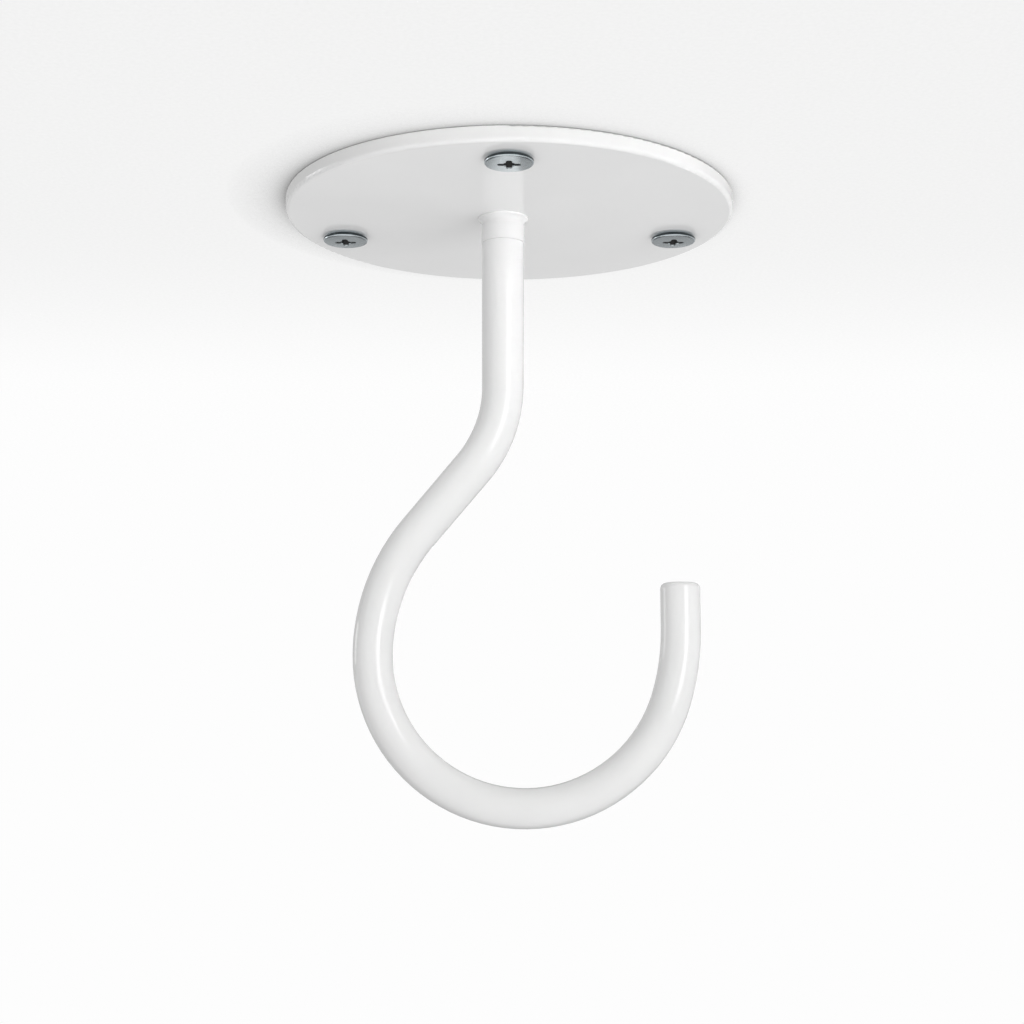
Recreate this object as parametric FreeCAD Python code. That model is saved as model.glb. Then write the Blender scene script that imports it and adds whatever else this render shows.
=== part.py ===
import FreeCAD, Part
import math
import os

# Ceiling hook in millimetres. Z = 0 is the ceiling, the origin is the middle of the plate's back
# face, the hook hangs towards -Z in the XZ plane and its open mouth faces +X.

# Plate: a round steel disc held flat against the ceiling
plate_diameter = 90.8
plate_thickness = 3.0
plate_face_rounding = 0.8
plate_back_rounding = 0.4

# Hook: one round bar bent into a shank, a slanted neck, a bowl and a short upright tip. It is drawn
# down from the plate to the start of the bowl, and the bowl opens out a little towards the tip.
shank_diameter = 8.6
bowl_bar_diameter = 7.9
shank_offset = -1.3
hook_drop = 126.0
bowl_offset = 3.1
bowl_radius = 30.0
side_radius = 38.0
bend_radius = 26.0
neck_slant = math.radians(39.8)
opening_radius = 46.0
opening_angle = math.radians(17.5)
tip_length = 9.3
tip_rounding = 1.1

# Riveted joint: the bar is turned down, passed through the plate and peened into a countersink
spigot_diameter = 6.0
countersink_diameter = 8.6
rivet_clearance = 0.05
rivet_recess = 0.25

# Collar: a thin drawn ring in a turned seat on the shank, flared out where it meets the plate
collar_seat_depth = 0.2
collar_height = 5.35
collar_wall = 0.27
collar_clearance = 0.03
collar_rim_rounding = 0.1
flare_reach = 0.75
flare_height = 1.8
flare_lip = 0.35
flare_lip_rounding = 0.12
flare_hollow = 0.24

# Screws: countersunk heads that stand proud of the plate, one in front and two behind the middle
screw_circle_diameter = 73.0
rear_screw_angle = 19.0
head_diameter = 9.3
head_stand = 1.3
head_lip = 0.6
head_rounding = 0.38
head_crown = 0.15
neck_diameter = 4.8
core_diameter = 3.5
screw_length = 35.0
point_length = 6.0
point_diameter = 0.4
hole_clearance = 0.4
hole_edge_break = 0.3

# Cross recess in each screw head
recess_span = 4.5
recess_floor_span = 2.0
recess_depth = 2.2
recess_wing_width = 1.2
recess_core_span = 2.5

face_z = -plate_thickness
shank_radius = shank_diameter / 2
bowl_bar_radius = bowl_bar_diameter / 2
collar_seat_radius = shank_radius - collar_seat_depth
spigot_radius = spigot_diameter / 2
neck_radius = neck_diameter / 2
down = FreeCAD.Vector(0, 0, -1)
up = FreeCAD.Vector(0, 0, 1)


def at(x, z):
    return FreeCAD.Vector(x, 0, z)


def around(centre, radius, angle):
    return centre + at(radius * math.cos(angle), radius * math.sin(angle))


def arc(centre, radius, start, end):
    middle = (start + end) / 2
    points = [around(centre, radius, angle) for angle in (start, middle, end)]
    return Part.Arc(*points).toShape()


def line(start, end):
    return Part.LineSegment(start, end).toShape()


def turned(edges):
    # A closed outline beside the Z axis, turned into a round solid
    face = Part.Face(Part.Wire(edges))
    return face.revolve(FreeCAD.Vector(0, 0, 0), up, 360)


def circle_edges(shape, centre, radius):
    # The round edges of one radius about one centre
    tolerance = 1e-4
    found = []
    for edge in shape.Edges:
        if not isinstance(edge.Curve, Part.Circle):
            continue
        near = edge.Curve.Center.distanceToPoint(centre) < tolerance
        if near and abs(edge.Curve.Radius - radius) < tolerance:
            found.append(edge)
    return found


def screw_places():
    radius = screw_circle_diameter / 2
    angles = (270.0, rear_screw_angle, 180.0 - rear_screw_angle)
    places = []
    for angle in angles:
        turn = math.radians(angle)
        places.append(FreeCAD.Vector(radius * math.cos(turn), radius * math.sin(turn), 0))
    return places


def ceiling_plate():
    radius = plate_diameter / 2
    plate = Part.makeCylinder(radius, plate_thickness, at(0, face_z))
    plate = plate.makeFillet(plate_face_rounding, circle_edges(plate, at(0, face_z), radius))
    plate = plate.makeFillet(plate_back_rounding, circle_edges(plate, at(0, 0), radius))

    # Rivet hole, countersunk from the back
    rivet_hole_radius = spigot_radius + rivet_clearance
    sink_radius = countersink_diameter / 2
    sink_depth = sink_radius - rivet_hole_radius
    hole = Part.makeCylinder(rivet_hole_radius, plate_thickness, at(shank_offset, face_z))
    sink = Part.makeCone(rivet_hole_radius, sink_radius, sink_depth, at(shank_offset, -sink_depth))
    plate = plate.cut(hole).cut(sink)

    # Screw holes, countersunk under the heads, with the punched edge broken on the back
    hole_radius = neck_radius + hole_clearance
    seat_radius = head_diameter / 2 - head_stand + head_lip
    break_radius = hole_radius + hole_edge_break
    for place in screw_places():
        hole = Part.makeCylinder(hole_radius, plate_thickness, place + at(0, face_z))
        seat = Part.makeCone(seat_radius, hole_radius, seat_radius - hole_radius, place + at(0, face_z))
        edge = Part.makeCone(hole_radius, break_radius, hole_edge_break, place + at(0, -hole_edge_break))
        plate = plate.cut(hole).cut(seat).cut(edge)
    return plate


def hook_paths():
    # Shank, bend, slanted neck and long side arc down to the bowl, then bowl, opening arc and tip
    bowl_z = bowl_bar_radius + bowl_radius - hook_drop
    bowl_centre = at(bowl_offset, bowl_z)
    side_centre = at(bowl_offset - bowl_radius + side_radius, bowl_z)
    side_top = around(side_centre, side_radius, math.pi - neck_slant)

    slant = at(math.sin(neck_slant), math.cos(neck_slant))
    bend_start_x = shank_offset - bend_radius * (1 - math.cos(neck_slant))
    neck_length = (bend_start_x - side_top.x) / slant.x
    neck_top = side_top + slant * neck_length
    bend_centre = at(shank_offset - bend_radius, neck_top.z + bend_radius * math.sin(neck_slant))

    shank_top = at(shank_offset, face_z)
    shank_end = around(bend_centre, bend_radius, 0)
    upper = [
        line(shank_top, shank_end),
        arc(bend_centre, bend_radius, 0, -neck_slant),
        line(neck_top, side_top),
        arc(side_centre, side_radius, math.pi - neck_slant, math.pi),
    ]
    bowl_start = around(bowl_centre, bowl_radius, math.pi)

    bowl_end = 2 * math.pi - opening_angle
    opening_centre = around(bowl_centre, bowl_radius - opening_radius, bowl_end)
    tip_start = around(opening_centre, opening_radius, 2 * math.pi)
    tip_end = tip_start + at(0, tip_length)
    lower = [
        arc(bowl_centre, bowl_radius, math.pi, bowl_end),
        arc(opening_centre, opening_radius, bowl_end, 2 * math.pi),
        line(tip_start, tip_end),
    ]
    return Part.Wire(upper), Part.Wire(lower), shank_top, bowl_start, tip_end


def rivet_spigot():
    # Turned end of the bar, upset at the top to fill the countersink
    sink_radius = countersink_diameter / 2
    cone_start = spigot_radius + rivet_clearance - sink_radius
    head_start = cone_start + rivet_clearance
    head_radius = spigot_radius - rivet_recess - head_start
    edges = [
        line(at(0, face_z), at(spigot_radius, face_z)),
        line(at(spigot_radius, face_z), at(spigot_radius, head_start)),
        line(at(spigot_radius, head_start), at(head_radius, -rivet_recess)),
        line(at(head_radius, -rivet_recess), at(0, -rivet_recess)),
        line(at(0, -rivet_recess), at(0, face_z)),
    ]
    spigot = turned(edges)
    spigot.translate(at(shank_offset, 0))
    return spigot


def collar_seat():
    # What is turned off the top of the shank to take the collar
    height = collar_height + collar_clearance
    outside = Part.makeCylinder(shank_diameter, height, at(shank_offset, face_z - height))
    inside = Part.makeCylinder(collar_seat_radius, height, at(shank_offset, face_z - height))
    return outside.cut(inside)


def hook_rod():
    upper, lower, shank_top, bowl_start, tip_end = hook_paths()
    shank_section = Part.Wire(Part.makeCircle(shank_radius, shank_top, down))
    bowl_section = Part.Wire(Part.makeCircle(bowl_bar_radius, bowl_start, down))
    drawn = upper.makePipeShell([shank_section, bowl_section], True, False)
    bowl = lower.makePipe(Part.Face(bowl_section))
    bowl = bowl.makeFillet(tip_rounding, circle_edges(bowl, tip_end, bowl_bar_radius))
    return drawn.fuse(bowl).cut(collar_seat()).fuse(rivet_spigot())


def collar():
    inner = collar_seat_radius + collar_clearance
    outer = inner + collar_wall
    foot = outer + flare_reach
    lip_z = face_z - flare_lip
    flare_z = face_z - flare_height
    rim_z = face_z - collar_height
    hollow = at((outer + foot) / 2 - flare_hollow, (lip_z + flare_z) / 2 + flare_hollow)
    edges = [
        line(at(inner, face_z), at(foot, face_z)),
        line(at(foot, face_z), at(foot, lip_z)),
        Part.Arc(at(foot, lip_z), hollow, at(outer, flare_z)).toShape(),
        line(at(outer, flare_z), at(outer, rim_z)),
        line(at(outer, rim_z), at(inner, rim_z)),
        line(at(inner, rim_z), at(inner, face_z)),
    ]
    ring = turned(edges)
    ring = ring.makeFillet(collar_rim_rounding, circle_edges(ring, at(0, rim_z), outer))
    ring = ring.makeFillet(flare_lip_rounding, circle_edges(ring, at(0, lip_z), foot))
    ring.translate(at(shank_offset, 0))
    return ring


def recess_wing(start_z, depth):
    # One slot across the head, with round ends
    radius = recess_wing_width / 2
    reach = recess_span / 2 - radius
    corner = FreeCAD.Vector(-reach, -radius, start_z)
    wing = Part.makeBox(2 * reach, 2 * radius, depth, corner)
    for x in (-reach, reach):
        wing = wing.fuse(Part.makeCylinder(radius, depth, at(x, start_z)))
    return wing


def cross_recess(head_z):
    # Two crossed wings, tapered by a cone, about a narrower middle
    start = head_z - head_crown
    depth = recess_depth + head_crown
    wing = recess_wing(start, depth)
    crosswise = wing.copy()
    crosswise.rotate(at(0, 0), up, 90)
    taper = Part.makeCone(recess_span / 2, recess_floor_span / 2, depth, at(0, start))
    middle = Part.makeCone(recess_core_span / 2, recess_wing_width / 2, depth, at(0, start))
    return wing.fuse(crosswise).common(taper).fuse(middle)


def mounting_screw():
    head_radius = head_diameter / 2
    core_radius = core_diameter / 2
    point_radius = point_diameter / 2
    head_z = face_z - head_stand
    cone_z = head_z + head_lip
    neck_z = cone_z + head_radius - neck_radius
    tip_z = face_z + screw_length
    point_z = tip_z - point_length
    corner = at(head_radius - head_rounding, head_z + head_rounding)
    crown = at(0, head_z - head_crown)
    crown_side = at(corner.x / 2, head_z - head_crown * 0.75)
    edges = [
        Part.Arc(crown, crown_side, at(corner.x, head_z)).toShape(),
        arc(corner, head_rounding, -math.pi / 2, 0),
        line(at(head_radius, corner.z), at(head_radius, cone_z)),
        line(at(head_radius, cone_z), at(neck_radius, neck_z)),
        line(at(neck_radius, neck_z), at(neck_radius, 0)),
        line(at(neck_radius, 0), at(core_radius, 0)),
        line(at(core_radius, 0), at(core_radius, point_z)),
        line(at(core_radius, point_z), at(point_radius, tip_z)),
        line(at(point_radius, tip_z), at(0, tip_z)),
        line(at(0, tip_z), crown),
    ]
    return turned(edges).cut(cross_recess(head_z))


def mounting_screws():
    pattern = mounting_screw()
    screws = []
    for place in screw_places():
        screw = pattern.copy()
        screw.translate(place)
        screws.append(screw)
    return Part.makeCompound(screws)


os.makedirs("parts", exist_ok=True)
ceiling_plate().exportStep("parts/ceiling_plate.step")
hook_rod().exportStep("parts/hook_rod.step")
collar().exportStep("parts/collar.step")
mounting_screws().exportStep("parts/mounting_screws.step")
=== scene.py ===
import math
import bmesh
import bpy
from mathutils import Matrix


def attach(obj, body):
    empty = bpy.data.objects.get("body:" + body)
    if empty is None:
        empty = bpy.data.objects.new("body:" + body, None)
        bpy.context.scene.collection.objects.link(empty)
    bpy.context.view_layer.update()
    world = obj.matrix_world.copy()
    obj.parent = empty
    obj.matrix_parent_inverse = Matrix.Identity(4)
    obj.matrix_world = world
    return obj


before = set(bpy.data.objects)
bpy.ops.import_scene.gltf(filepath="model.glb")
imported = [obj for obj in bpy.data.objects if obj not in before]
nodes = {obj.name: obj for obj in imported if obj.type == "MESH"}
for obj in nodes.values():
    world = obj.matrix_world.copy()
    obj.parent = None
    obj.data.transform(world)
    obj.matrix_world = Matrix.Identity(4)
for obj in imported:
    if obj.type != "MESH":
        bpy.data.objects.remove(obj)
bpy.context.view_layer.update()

scene = bpy.context.scene
print("frame loaded:", sorted(nodes))


def mm(value):
    return value * 0.001


def perMm(size):
    return 1000.0 / size    # texture scale for a pattern of this size in millimetres


def linear(hexColour, alpha=1.0):
    channels = []
    for start in (1, 3, 5):
        value = int(hexColour[start:start + 2], 16) / 255
        channels.append(value / 12.92 if value <= 0.04045 else ((value + 0.055) / 1.055) ** 2.4)
    return (*channels, alpha)


def addNode(tree, kind, values=None, links=None, **settings):
    node = tree.nodes.new(kind)
    for name, value in settings.items():
        setattr(node, name, value)
    for socket, value in (values or {}).items():
        node.inputs[socket].default_value = value
    for socket, source in (links or {}).items():
        tree.links.new(source, node.inputs[socket])
    return node


noiseRange = {"From Min": 0.3, "From Max": 0.7}    # most of what a noise texture gives


def newMaterial(name):
    material = bpy.data.materials.new(name)
    material.use_nodes = True
    material.node_tree.nodes.clear()
    return material, material.node_tree


def setOutput(tree, shader):
    addNode(tree, "ShaderNodeOutputMaterial", links={"Surface": shader.outputs[0]})


def meshObject(name, bm):
    mesh = bpy.data.meshes.new(name)
    bm.to_mesh(mesh)
    bm.free()
    piece = bpy.data.objects.new(name, mesh)
    scene.collection.objects.link(piece)
    return piece


# Powder-coated steel: a thick film that melted and levelled in the oven. It gives the eye a clean
# white with soft-edged, almost mirror-like reflections and a very faint orange peel.
whiteCoat = {
    "white": "#efefef",
    "thinWhite": "#ebebeb",
    "patchMm": 14.0,
    "glossLow": 0.045,
    "glossHigh": 0.08,
    "glossPatchMm": 5.0,
    "peelMm": 1.6,
    "peelHeightMm": 0.0016,
    "filmIor": 1.5,
}


def makeWhiteCoat(spec):
    material, tree = newMaterial("powderCoatedSteelGlossWhite")
    place = addNode(tree, "ShaderNodeTexCoord").outputs["Object"]
    patches = addNode(tree, "ShaderNodeTexNoise", {"Scale": perMm(spec["patchMm"]), "Detail": 2.0},
                      {"Vector": place})
    tint = addNode(tree, "ShaderNodeMix", {"A": linear(spec["white"]), "B": linear(spec["thinWhite"])},
                   {"Factor": patches.outputs["Fac"]}, data_type="RGBA")
    gloss = addNode(tree, "ShaderNodeTexNoise", {"Scale": perMm(spec["glossPatchMm"]), "Detail": 3.0},
                    {"Vector": place})
    glossRange = {**noiseRange, "To Min": spec["glossLow"], "To Max": spec["glossHigh"]}
    roughness = addNode(tree, "ShaderNodeMapRange", glossRange, {"Value": gloss.outputs["Fac"]})
    peel = addNode(tree, "ShaderNodeTexNoise", {"Scale": perMm(spec["peelMm"]), "Detail": 1.0},
                   {"Vector": place})
    bump = addNode(tree, "ShaderNodeBump", {"Strength": 1.0, "Distance": mm(spec["peelHeightMm"])},
                   {"Height": peel.outputs["Fac"]})
    shader = addNode(tree, "ShaderNodeBsdfPrincipled", {"IOR": spec["filmIor"]},
                     {"Base Color": tint.outputs["Result"], "Roughness": roughness.outputs["Result"],
                      "Normal": bump.outputs["Normal"]})
    setOutput(tree, shader)
    return material


# Zinc-plated steel: bright plating over a pressed head. It gives the eye a cool grey metal, a little
# clouded, with fine turning marks round each axis, a dull non-metal driver recess with painted shade
# that makes it near-black, and a painted dark line of shade round the flank of the head, next to the
# plate.
zincPlate = {
    "zinc": "#d3dbde",
    "cloudedZinc": "#c9d1d5",
    # painted shade: near-black in the driver recess
    "recessPaintedShade": "#070808",
    # painted shade: a dark line on the head's flank next to the plate
    "seatPaintedShade": "#3f4649",
    "cloudMm": 2.4,
    "turningMm": 0.34,       # real marks are about 0.1 mm apart, drawn coarser to show
    "turningHeightMm": 0.0004,
    "roughLow": 0.17,
    "roughHigh": 0.23,
    "recessRough": 0.45,
    "recessRadiusMm": 2.28,
    "recessMouthMm": -4.34,  # heights in the part's frame
    "recessDarkMm": -4.18,
    "recessFloorMm": -2.05,
    "seatLowMm": -4.02,
    "seatHighMm": -3.38,
    "seatRadiusMm": 2.6,
}
screws = {
    "circleMm": 36.5,
    "turnsDeg": {"frontScrewThread": 270.0, "rearRightScrewThread": 19.0, "rearLeftScrewThread": 161.0},
}
screwPlaces = {}
for name, degrees in screws["turnsDeg"].items():
    turn = math.radians(degrees)
    screwPlaces[name] = (screws["circleMm"] * math.cos(turn), screws["circleMm"] * math.sin(turn))
farAway = 1.0    # metres, well past the part


def makeZincPlate(spec):
    material, tree = newMaterial("zincPlatedSteelPressed")
    place = addNode(tree, "ShaderNodeTexCoord").outputs["Object"]
    parts = addNode(tree, "ShaderNodeSeparateXYZ", links={"Vector": place})
    height = parts.outputs["Z"]
    flat = addNode(tree, "ShaderNodeCombineXYZ",
                   links={"X": parts.outputs["X"], "Y": parts.outputs["Y"]})
    nearest = None
    for x, y in screwPlaces.values():    # distance from the nearest screw's axis
        away = addNode(tree, "ShaderNodeVectorMath", {1: (mm(x), mm(y), 0)}, {0: flat.outputs[0]},
                       operation="DISTANCE").outputs["Value"]
        if nearest is None:
            nearest = away
        else:
            nearest = addNode(tree, "ShaderNodeMath", links={0: nearest, 1: away},
                              operation="MINIMUM").outputs[0]
    clouds = addNode(tree, "ShaderNodeTexNoise", {"Scale": perMm(spec["cloudMm"]), "Detail": 2.0},
                     {"Vector": place})
    tint = addNode(tree, "ShaderNodeMix",
                   {"A": linear(spec["zinc"]), "B": linear(spec["cloudedZinc"])},
                   {"Factor": clouds.outputs["Fac"]}, data_type="RGBA")
    roughRange = {**noiseRange, "To Min": spec["roughLow"], "To Max": spec["roughHigh"]}
    roughness = addNode(tree, "ShaderNodeMapRange", roughRange, {"Value": clouds.outputs["Fac"]})
    rings = addNode(tree, "ShaderNodeMath", {1: math.tau * perMm(spec["turningMm"])}, {0: nearest},
                    operation="MULTIPLY")
    wave = addNode(tree, "ShaderNodeMath", links={0: rings.outputs[0]}, operation="SINE")
    bump = addNode(tree, "ShaderNodeBump",
                   {"Strength": 1.0, "Distance": mm(spec["turningHeightMm"])},
                   {"Height": wave.outputs[0]})

    def allOf(masks):
        product = masks[0]
        for mask in masks[1:]:
            product = addNode(tree, "ShaderNodeMath", links={0: product, 1: mask},
                              operation="MULTIPLY").outputs[0]
        return product

    def between(value, low, high):
        above = addNode(tree, "ShaderNodeMath", {1: low}, {0: value}, operation="GREATER_THAN")
        under = addNode(tree, "ShaderNodeMath", {1: high}, {0: value}, operation="LESS_THAN")
        return allOf((above.outputs[0], under.outputs[0]))

    # the recess is what lies above the head's face and inside its cross; it gets painted shade,
    # near-black
    mouth = {"From Min": mm(spec["recessMouthMm"]), "From Max": mm(spec["recessDarkMm"])}
    deeper = addNode(tree, "ShaderNodeMapRange", mouth, {"Value": height}).outputs["Result"]
    recess = allOf((deeper, between(nearest, -farAway, mm(spec["recessRadiusMm"])),
                    between(height, -farAway, mm(spec["recessFloorMm"]))))
    # the seat is the head's flank just off the plate; it gets a painted dark line of shade
    seat = allOf((between(height, mm(spec["seatLowMm"]), mm(spec["seatHighMm"])),
                  between(nearest, mm(spec["seatRadiusMm"]), farAway)))
    colour = tint.outputs["Result"]
    # painted shade mixed into the zinc's colour: near-black in the recess, dark grey on the head's flank
    for mask, paintedShade in ((recess, "recessPaintedShade"), (seat, "seatPaintedShade")):
        colour = addNode(tree, "ShaderNodeMix", {"B": linear(spec[paintedShade])}, {"Factor": mask, "A": colour},
                         data_type="RGBA").outputs["Result"]
    bare = addNode(tree, "ShaderNodeMath", {0: 1.0}, {1: recess}, operation="SUBTRACT")
    dull = addNode(tree, "ShaderNodeMix", {"B": spec["recessRough"]},
                   {"Factor": recess, "A": roughness.outputs["Result"]})
    shader = addNode(tree, "ShaderNodeBsdfPrincipled",
                     links={"Base Color": colour, "Metallic": bare.outputs[0],
                            "Roughness": dull.outputs["Result"], "Normal": bump.outputs["Normal"]})
    setOutput(tree, shader)
    return material


coat = makeWhiteCoat(whiteCoat)
zinc = makeZincPlate(zincPlate)
finishes = {"ceiling_plate": coat, "hook_rod": coat, "collar": coat, "mounting_screws": zinc}
for name, finish in finishes.items():
    for slot in nodes[name].material_slots:
        slot.material = finish
print("materials on the frame")


# Screw thread: a rolled wood thread wound round each screw's core and run out on the point
thread = {
    "coreRadius": 1.75,
    "crestRadius": 2.5,
    "rootSink": 0.08,        # the ridge starts just inside the core
    "pitch": 2.2,
    "footWidth": 0.85,
    "crestWidth": 0.12,
    "leastFoot": 0.35,       # share of the foot that is left where the ridge starts and ends
    "endCrest": 0.25,        # share of the ridge that is left at the point
    "crestPerTurn": 0.55,    # how fast the ridge grows back from there
    "startZ": 2.5,
    "pointStartZ": 26.0,
    "pointEndZ": 31.2,
    "pointRadius": 0.3,
    "stepsPerTurn": 40,
}


def threadRadius(spec, z):
    if z <= spec["pointStartZ"]:
        return spec["coreRadius"]
    along = (z - spec["pointStartZ"]) / (spec["pointEndZ"] - spec["pointStartZ"])
    return spec["coreRadius"] + (spec["pointRadius"] - spec["coreRadius"]) * along


def makeThread(name, x, y, spec):
    bm = bmesh.new()
    turns = (spec["pointEndZ"] - spec["startZ"]) / spec["pitch"]
    count = int(turns * spec["stepsPerTurn"])
    sections = []
    for step in range(count + 1):
        share = step / count
        z = spec["startZ"] + (spec["pointEndZ"] - spec["startZ"]) * share
        turn = math.tau * step / spec["stepsPerTurn"]
        root = threadRadius(spec, z) - spec["rootSink"]
        turnsIn = step / spec["stepsPerTurn"]
        turnsLeft = (count - step) / spec["stepsPerTurn"]
        grow = min(1.0, turnsIn, spec["endCrest"] + spec["crestPerTurn"] * turnsLeft)
        crest = root + spec["rootSink"] + (spec["crestRadius"] - spec["coreRadius"]) * grow
        foot = spec["footWidth"] / 2 * max(grow, spec["leastFoot"])
        top = spec["crestWidth"] / 2
        section = []
        for radius, lift in ((root, -foot), (crest, -top), (crest, top), (root, foot)):
            place = (x + radius * math.cos(turn), y + radius * math.sin(turn), z + lift)
            section.append(bm.verts.new([mm(value) for value in place]))
        sections.append(section)
    for low, high in zip(sections, sections[1:]):
        for i in range(len(low)):
            j = (i + 1) % len(low)
            bm.faces.new((low[i], high[i], high[j], low[j]))
    bm.faces.new(sections[0])
    bm.faces.new(list(reversed(sections[-1])))
    bmesh.ops.recalc_face_normals(bm, faces=bm.faces)
    piece = meshObject(name, bm)
    piece.data.materials.append(zinc)
    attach(piece, "root")
    return piece


for name, (x, y) in screwPlaces.items():
    makeThread(name, x, y, thread)
print("screw threads wound")


# Ceiling: painted plasterboard. It is matt white with a fine rolled-on grain, open above the plate,
# and clear from its upper side, so that the part can be seen from there too.
ceiling = {
    "paint": "#f1f1f0",
    "farWhite": "#fdfdfd",
    "ringsMm": (44.6, 60.0, 120.0, 600.0, 4000.0),
    "ringSteps": 128,
    "liftMm": 0.05,
    "grainMm": 0.8,
    "grainShare": 0.09,
    "whiteNear": 0.978,
    "whiteFar": 1.0,
    "shareNear": 0.8,        # how much of what the camera sees is the plain white
    "shareFar": 1.0,
    "fadeMm": 175.0,         # the white evens out this far behind the plate
    "shadeReachMm": 12.0,
    "shadeDepth": 1.2,
    "shadeSamples": 4,
    "shadeLean": (0.42, -0.2, 0.0),    # the light comes from the right and the front
}


def seenRays(tree):
    path = addNode(tree, "ShaderNodeLightPath")
    seen = path.outputs["Is Camera Ray"]
    for kind in ("Is Glossy Ray", "Is Transmission Ray"):
        links = {0: seen, 1: path.outputs[kind]}
        seen = addNode(tree, "ShaderNodeMath", links=links, operation="MAXIMUM").outputs[0]
    return seen


def makeCeilingPaint(spec):
    material, tree = newMaterial("paintedPlasterboardRolled")
    geometry = addNode(tree, "ShaderNodeNewGeometry")
    place = addNode(tree, "ShaderNodeTexCoord").outputs["Object"]
    parts = addNode(tree, "ShaderNodeSeparateXYZ", links={"Vector": place})
    grain = addNode(tree, "ShaderNodeTexNoise", {"Scale": perMm(spec["grainMm"]), "Detail": 3.0},
                    {"Vector": place})
    half = spec["grainShare"] / 2
    speckle = addNode(tree, "ShaderNodeMapRange", {"To Min": 1 - half, "To Max": 1 + half},
                      {"Value": grain.outputs["Fac"]})
    behind = {"From Min": 0.0, "From Max": mm(spec["fadeMm"])}
    fade = addNode(tree, "ShaderNodeMapRange",
                   {**behind, "To Min": spec["whiteNear"], "To Max": spec["whiteFar"]},
                   {"Value": parts.outputs["Y"]}, interpolation_type="SMOOTHSTEP")
    share = addNode(tree, "ShaderNodeMapRange",
                    {**behind, "To Min": spec["shareNear"], "To Max": spec["shareFar"]},
                    {"Value": parts.outputs["Y"]}, interpolation_type="SMOOTHSTEP")
    lean = addNode(tree, "ShaderNodeVectorMath", {1: spec["shadeLean"]}, {0: geometry.outputs["Normal"]},
                   operation="ADD")
    lean = addNode(tree, "ShaderNodeVectorMath", links={0: lean.outputs[0]}, operation="NORMALIZE")
    shade = addNode(tree, "ShaderNodeAmbientOcclusion", {"Distance": mm(spec["shadeReachMm"])},
                    {"Normal": lean.outputs[0]}, samples=spec["shadeSamples"])
    level = addNode(tree, "ShaderNodeMath", {1: spec["shadeDepth"]}, {0: shade.outputs["AO"]},
                    operation="POWER")
    for factor in (fade, speckle):
        links = {0: level.outputs[0], 1: factor.outputs["Result"]}
        level = addNode(tree, "ShaderNodeMath", links=links, operation="MULTIPLY")
    white = addNode(tree, "ShaderNodeEmission", {"Color": linear(spec["farWhite"])},
                    {"Strength": level.outputs[0]})
    matt = addNode(tree, "ShaderNodeBsdfDiffuse", {"Color": linear(spec["paint"])})
    share = addNode(tree, "ShaderNodeMath", links={0: seenRays(tree), 1: share.outputs["Result"]},
                    operation="MULTIPLY")
    lit = addNode(tree, "ShaderNodeMixShader",
                  links={0: share.outputs[0], 1: matt.outputs[0], 2: white.outputs[0]})
    clear = addNode(tree, "ShaderNodeBsdfTransparent")
    both = addNode(tree, "ShaderNodeMixShader",
                   links={0: geometry.outputs["Backfacing"], 1: lit.outputs[0], 2: clear.outputs[0]})
    setOutput(tree, both)
    return material


def makeCeiling(spec):
    bm = bmesh.new()
    steps = spec["ringSteps"]
    rings = []
    for radius in spec["ringsMm"]:
        ring = []
        for step in range(steps):
            turn = math.tau * step / steps
            place = (mm(radius * math.cos(turn)), mm(radius * math.sin(turn)), mm(spec["liftMm"]))
            ring.append(bm.verts.new(place))
        rings.append(ring)
    for inner, outer in zip(rings, rings[1:]):
        for i in range(steps):
            j = (i + 1) % steps
            bm.faces.new((inner[i], inner[j], outer[j], outer[i]))    # faces look down
    piece = meshObject("ceiling", bm)
    piece.data.materials.append(makeCeilingPaint(spec))
    piece.visible_glossy = False


makeCeiling(ceiling)


# Grey cards round the part, seen only in its gloss: they draw the dark edges that a white object
# needs on a white ground, and one bright strip draws the thin line on its left. Turns are degrees
# from the camera's side, positive to the right, and rises are degrees above the part's middle.
cards = {
    "middleZ": -0.06,
    "steps": 12,
    "fields": {    # turns, rises, level, reach in metres
        "leftCard": ((-60.0, -104.0), (-35.0, 40.0), 0.58, 0.8),
        "leftGlint": ((-104.0, -119.0), (-4.0, 8.0), 3.0, 0.4),
        "farLeftCard": ((-104.0, -172.0), (-5.0, 40.0), 0.58, 0.8),
        "frontRightCard": ((46.0, 100.0), (-35.0, 2.0), 0.60, 0.8),
        "rightCard": ((100.0, 140.0), (-35.0, 40.0), 0.60, 0.8),
        "farRightCard": ((140.0, 172.0), (-5.0, 40.0), 0.65, 0.8),
        "backCard": ((172.0, 188.0), (-5.0, 40.0), 0.25, 0.8),
        "plateCard": ((125.0, 235.0), (-6.0, -24.0), 0.42, 0.8),
        "lowerCard": ((95.0, 265.0), (-24.0, -70.0), 0.15, 0.8),
    },
}


def makeCard(name, turns, rises, level, reach, spec):
    bm = bmesh.new()
    edges = []
    for step in range(spec["steps"] + 1):
        turn = math.radians(turns[0] + (turns[1] - turns[0]) * step / spec["steps"])
        edge = []
        for rise in rises:
            up = math.radians(rise)
            flat = reach * math.cos(up)
            height = spec["middleZ"] + reach * math.sin(up)
            edge.append(bm.verts.new((flat * math.sin(turn), -flat * math.cos(turn), height)))
        edges.append(edge)
    for here, there in zip(edges, edges[1:]):
        bm.faces.new((here[0], there[0], there[1], here[1]))
    piece = meshObject(name, bm)
    material, tree = newMaterial(name + "Grey")
    material.cycles.emission_sampling = "NONE"    # it is seen, and lights nothing
    setOutput(tree, addNode(tree, "ShaderNodeEmission", {"Strength": level}))
    piece.data.materials.append(material)
    piece.visible_camera = False
    piece.visible_diffuse = False
    piece.visible_shadow = False
    piece.visible_transmission = False


for name, (turns, rises, level, reach) in cards["fields"].items():
    makeCard(name, turns, rises, level, reach, cards)
print("ceiling and cards in place")


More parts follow.
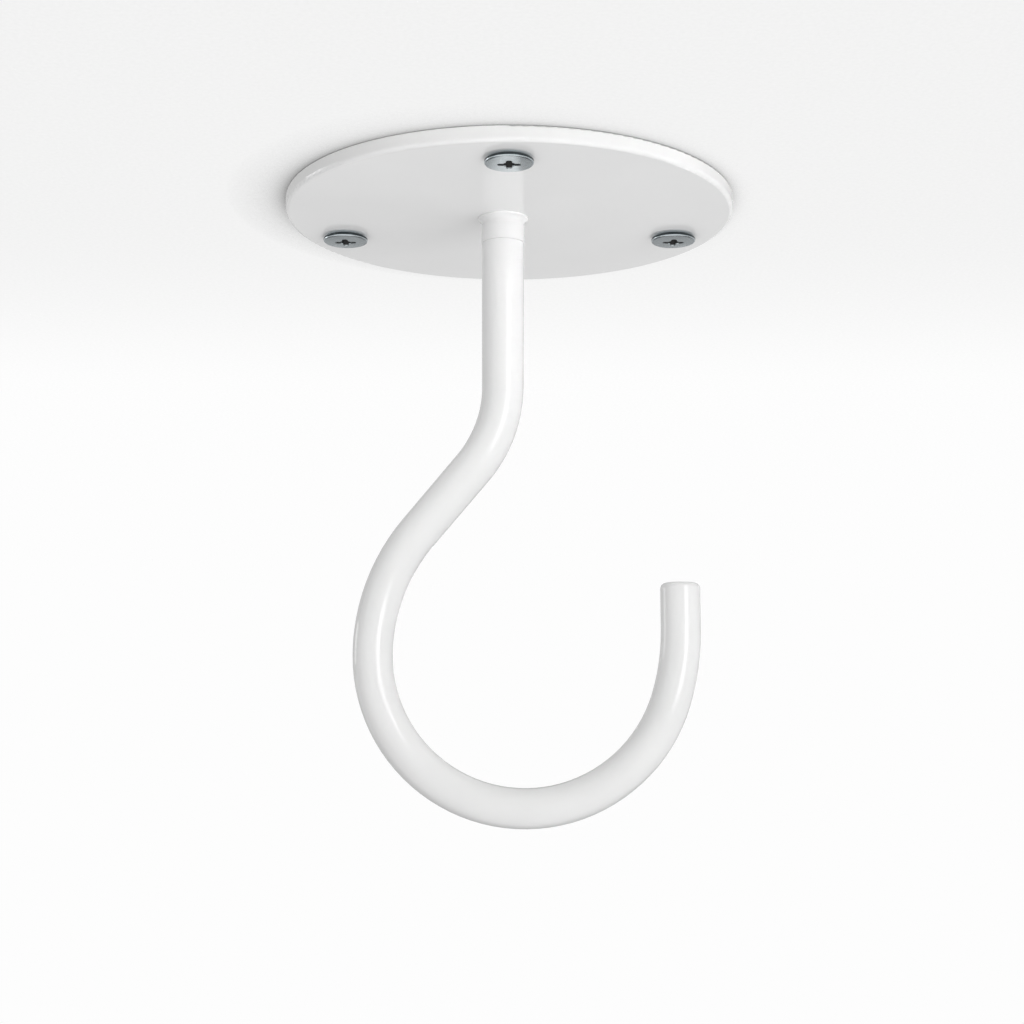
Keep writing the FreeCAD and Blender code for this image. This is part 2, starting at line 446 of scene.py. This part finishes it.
# Studio light: a soft dome that is brighter in front and below, a softbox on the right with a strip
# that the gloss shows as the stripe on the bar, two gridded lamps beside it, a fill from behind, a
# lamp from below that is flagged to light the plate and what sits on it, and a lamp over its back
dome = {
    "even": 0.525,
    "lean": (0.01, -0.26, -0.14),
    "white": "#fdfdfd",
    "whiteSeen": 1.0,
    "lowSeen": 0.89,         # the seen white falls off to this, far below the part
    "fallsDeg": (-8.0, -32.0),
}
onPlate = ("ceiling_plate", "collar", "mounting_screws")
inStripe = ("hook_rod", "collar", "mounting_screws")
lamps = {
    "stripe": {"turnDeg": 31.5, "tiltDeg": 0.0, "reachM": 0.8, "lowZ": -0.16, "highZ": 0.23,
               "widthM": 0.30, "radiance": 4.2, "spreadDeg": 180.0, "inGloss": True, "lights": inStripe},
    "softbox": {"turnDeg": 31.0, "tiltDeg": 0.0, "reachM": 0.8, "lowZ": -0.30, "highZ": 0.30,
                "widthM": 0.44, "radiance": 2.7, "spreadDeg": 180.0},
    "key": {"turnDeg": 40.0, "tiltDeg": 0.0, "reachM": 0.8, "lowZ": -0.12, "highZ": 0.12,
            "widthM": 0.30, "radiance": 0.29, "spreadDeg": 24.0},
    "shankKey": {"turnDeg": 58.0, "tiltDeg": 0.0, "reachM": 0.8, "lowZ": -0.03, "highZ": -0.002,
                 "widthM": 0.30, "radiance": 0.27, "spreadDeg": 8.0},
    "backFill": {"turnDeg": 185.0, "tiltDeg": 0.0, "reachM": 1.0, "lowZ": -0.45, "highZ": -0.05,
                 "widthM": 1.2, "radiance": 2.8, "spreadDeg": 180.0},
    "plateLamp": {"turnDeg": 75.0, "tiltDeg": 72.0, "reachM": 0.3, "lowZ": -1.2, "highZ": -0.7,
                  "widthM": 0.6, "radiance": 2.3, "spreadDeg": 180.0, "lights": onPlate},
    "topLamp": {"turnDeg": 0.0, "tiltDeg": -90.0, "reachM": 0.0, "lowZ": 0.6, "highZ": 1.2,
                "widthM": 0.6, "radiance": 2.1, "spreadDeg": 180.0},
}


def makeDome(spec):
    world = bpy.data.worlds.new("studioDome")
    scene.world = world
    world.use_nodes = True
    tree = world.node_tree
    tree.nodes.clear()
    way = addNode(tree, "ShaderNodeTexCoord").outputs["Generated"]
    facing = addNode(tree, "ShaderNodeVectorMath", {1: spec["lean"]}, {0: way}, operation="DOT_PRODUCT")
    level = addNode(tree, "ShaderNodeMath", {1: spec["even"]}, {0: facing.outputs["Value"]},
                    operation="ADD")
    light = addNode(tree, "ShaderNodeBackground", {"Color": linear("#ffffff")},
                    {"Strength": level.outputs[0]})
    rise = addNode(tree, "ShaderNodeSeparateXYZ", links={"Vector": way}).outputs["Z"]
    start, end = [math.sin(math.radians(angle)) for angle in spec["fallsDeg"]]
    falls = {"From Min": end, "From Max": start, "To Min": spec["lowSeen"], "To Max": spec["whiteSeen"]}
    seen = addNode(tree, "ShaderNodeMapRange", falls, {"Value": rise}, interpolation_type="SMOOTHSTEP")
    white = addNode(tree, "ShaderNodeBackground", {"Color": linear(spec["white"])},
                    {"Strength": seen.outputs["Result"]})
    both = addNode(tree, "ShaderNodeMixShader",
                   links={0: seenRays(tree), 1: light.outputs[0], 2: white.outputs[0]})
    addNode(tree, "ShaderNodeOutputWorld", links={"Surface": both.outputs[0]})


def makeLamp(name, spec):
    turn = math.radians(spec["turnDeg"])
    height = spec["highZ"] - spec["lowZ"]
    lamp = bpy.data.lights.new(name, "AREA")
    lamp.shape = "RECTANGLE"
    lamp.size = spec["widthM"]
    lamp.size_y = height
    lamp.energy = spec["radiance"] * math.pi * spec["widthM"] * height
    lamp.spread = math.radians(spec["spreadDeg"])
    piece = bpy.data.objects.new(name, lamp)
    scene.collection.objects.link(piece)
    middle = (spec["highZ"] + spec["lowZ"]) / 2
    piece.location = (spec["reachM"] * math.sin(turn), -spec["reachM"] * math.cos(turn), middle)
    piece.rotation_euler = (math.radians(90 + spec["tiltDeg"]), 0, turn)    # level where the tilt is 0
    piece.visible_camera = False
    piece.visible_glossy = spec.get("inGloss", False)
    piece.visible_diffuse = not piece.visible_glossy
    if "lights" in spec:
        lit = bpy.data.collections.new(name + "Lights")
        for node in spec["lights"]:
            lit.objects.link(nodes[node])
        piece.light_linking.receiver_collection = lit


makeDome(dome)
for name, spec in lamps.items():
    makeLamp(name, spec)
print("lights on")


# Camera: below the ceiling and in front, tilted up a little, as the photograph was taken
camera = {
    "lensMm": 65.04,
    "sensorMm": 36.0,
    "placeMm": (0.541, -364.31, -120.28),
    "tiltDeg": 8.835,
    "clipM": (0.01, 50.0),
}
lens = bpy.data.cameras.new("camera")
lens.lens = camera["lensMm"]
lens.sensor_width = camera["sensorMm"]
lens.clip_start, lens.clip_end = camera["clipM"]
eye = bpy.data.objects.new("camera", lens)
eye.location = [mm(value) for value in camera["placeMm"]]
eye.rotation_euler = (math.radians(90 + camera["tiltDeg"]), 0, 0)
scene.collection.objects.link(eye)
scene.camera = eye
scene.view_settings.view_transform = "Standard"
print("camera set")
